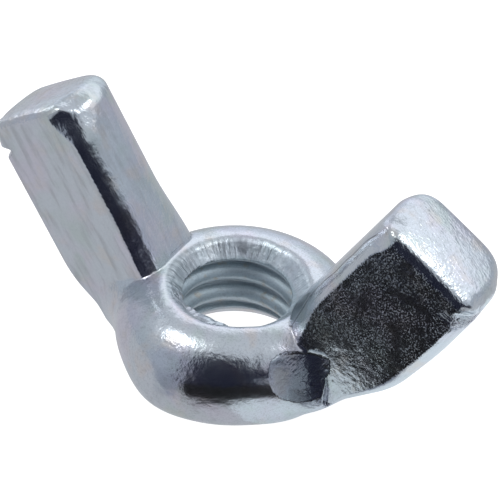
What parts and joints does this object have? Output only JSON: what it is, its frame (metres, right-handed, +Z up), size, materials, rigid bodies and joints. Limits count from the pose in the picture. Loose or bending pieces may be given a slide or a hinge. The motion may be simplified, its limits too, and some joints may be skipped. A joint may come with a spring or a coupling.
{
  "type": "wing nut",
  "caption": "Forged, zinc-plated wing nut with a round boss, a tapped through hole for a 1/4 in coarse thread, and two thick leaning finger wings.",
  "frame": {"origin": "centre of the thread axis in the plane of the bearing face, which is the lowest point", "axes": "+Z up the thread axis towards the wing tips, +X and -X towards the two wings, Y across the wings' thickness"},
  "size_m": [0.0256, 0.0118, 0.0127],
  "materials": {
    "zinc_boss": "bright zinc plating over forged and tapped steel",
    "zinc_wing": "bright zinc plating over a forged surface with fine pitting"
  },
  "bodies": {
    "root": {"boss": "zinc_boss", "wing_right": "zinc_wing", "wing_left": "zinc_wing"}
  },
  "joints": []
}
